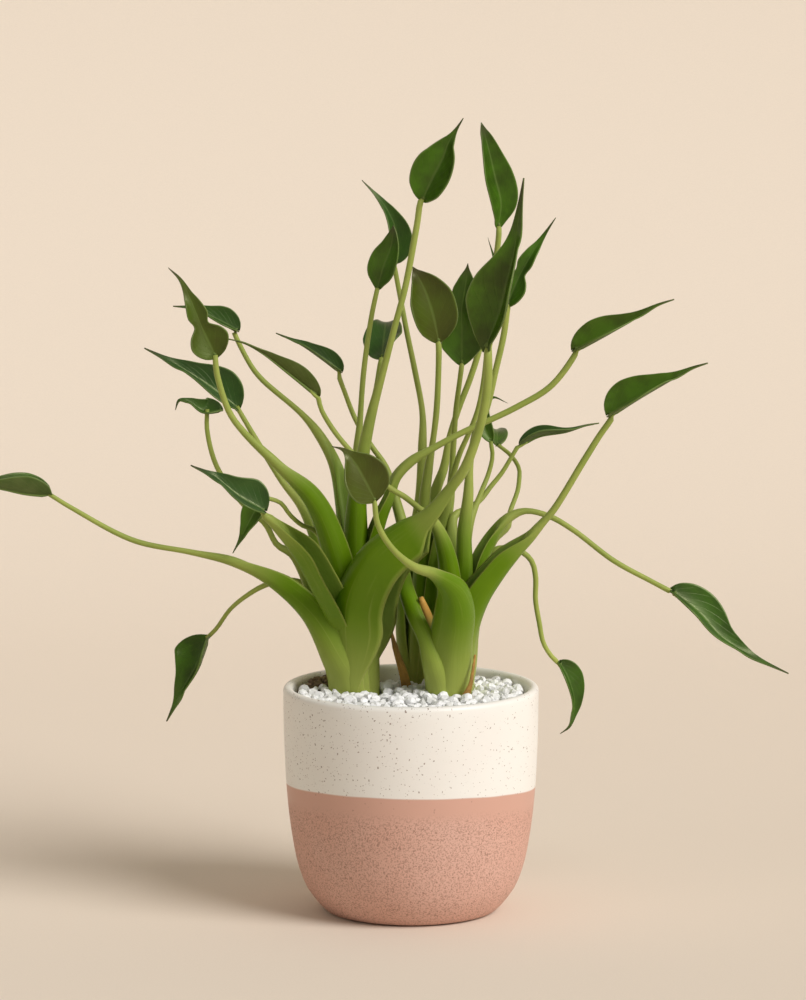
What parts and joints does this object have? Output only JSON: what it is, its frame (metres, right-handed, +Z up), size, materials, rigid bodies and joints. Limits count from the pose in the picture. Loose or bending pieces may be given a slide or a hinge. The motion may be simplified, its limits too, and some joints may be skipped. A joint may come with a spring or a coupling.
{
  "type": "potted alocasia",
  "caption": "Small alocasia with drop-shaped folded leaves on long arching stalks, in a round two-tone ceramic pot topped with white stones.",
  "frame": {"origin": "middle of the pot's flat foot, on the surface that it stands on", "axes": "+Z up, -Y towards the viewer's side of the plant, +X to the right along the plant's widest spread"},
  "size_m": [0.4253, 0.1789, 0.4043],
  "materials": {
    "stalk": "satin, yellow-green stalks and vivid green sheaths",
    "leaf_blade": "semi-gloss dark green above, matt grey-green below",
    "dry_sheath": "matt, dry papery brown",
    "pot_glaze": "satin cream glaze above, dusty pink speckled glaze below",
    "potting_mix": "matt, crumbly bark and peat",
    "white_stone": "matt, broken white marble chips"
  },
  "bodies": {
    "root": {"left_shoot": "stalk", "right_shoot": "stalk", "back_shoot": "stalk", "left_blade_1": "leaf_blade", "left_blade_2": "leaf_blade", "left_blade_3": "leaf_blade", "left_blade_4": "leaf_blade", "left_blade_5": "leaf_blade", "left_blade_6": "leaf_blade", "left_blade_7": "leaf_blade", "left_blade_8": "leaf_blade", "left_blade_9": "leaf_blade", "left_blade_10": "leaf_blade", "left_blade_11": "leaf_blade", "left_blade_12": "leaf_blade", "left_blade_13": "leaf_blade", "right_blade_1": "leaf_blade", "right_blade_2": "leaf_blade", "right_blade_3": "leaf_blade", "right_blade_4": "leaf_blade", "right_blade_5": "leaf_blade", "right_blade_6": "leaf_blade", "right_blade_7": "leaf_blade", "right_blade_8": "leaf_blade", "right_blade_9": "leaf_blade", "right_blade_10": "leaf_blade", "back_blade_1": "leaf_blade", "back_blade_2": "leaf_blade", "back_blade_3": "leaf_blade", "back_blade_4": "leaf_blade", "back_blade_5": "leaf_blade", "pot": "pot_glaze", "dry_sheath_middle": "dry_sheath", "dry_sheath_right": "dry_sheath", "potting_mix": "potting_mix", "white_stones": "white_stone"}
  },
  "joints": []
}
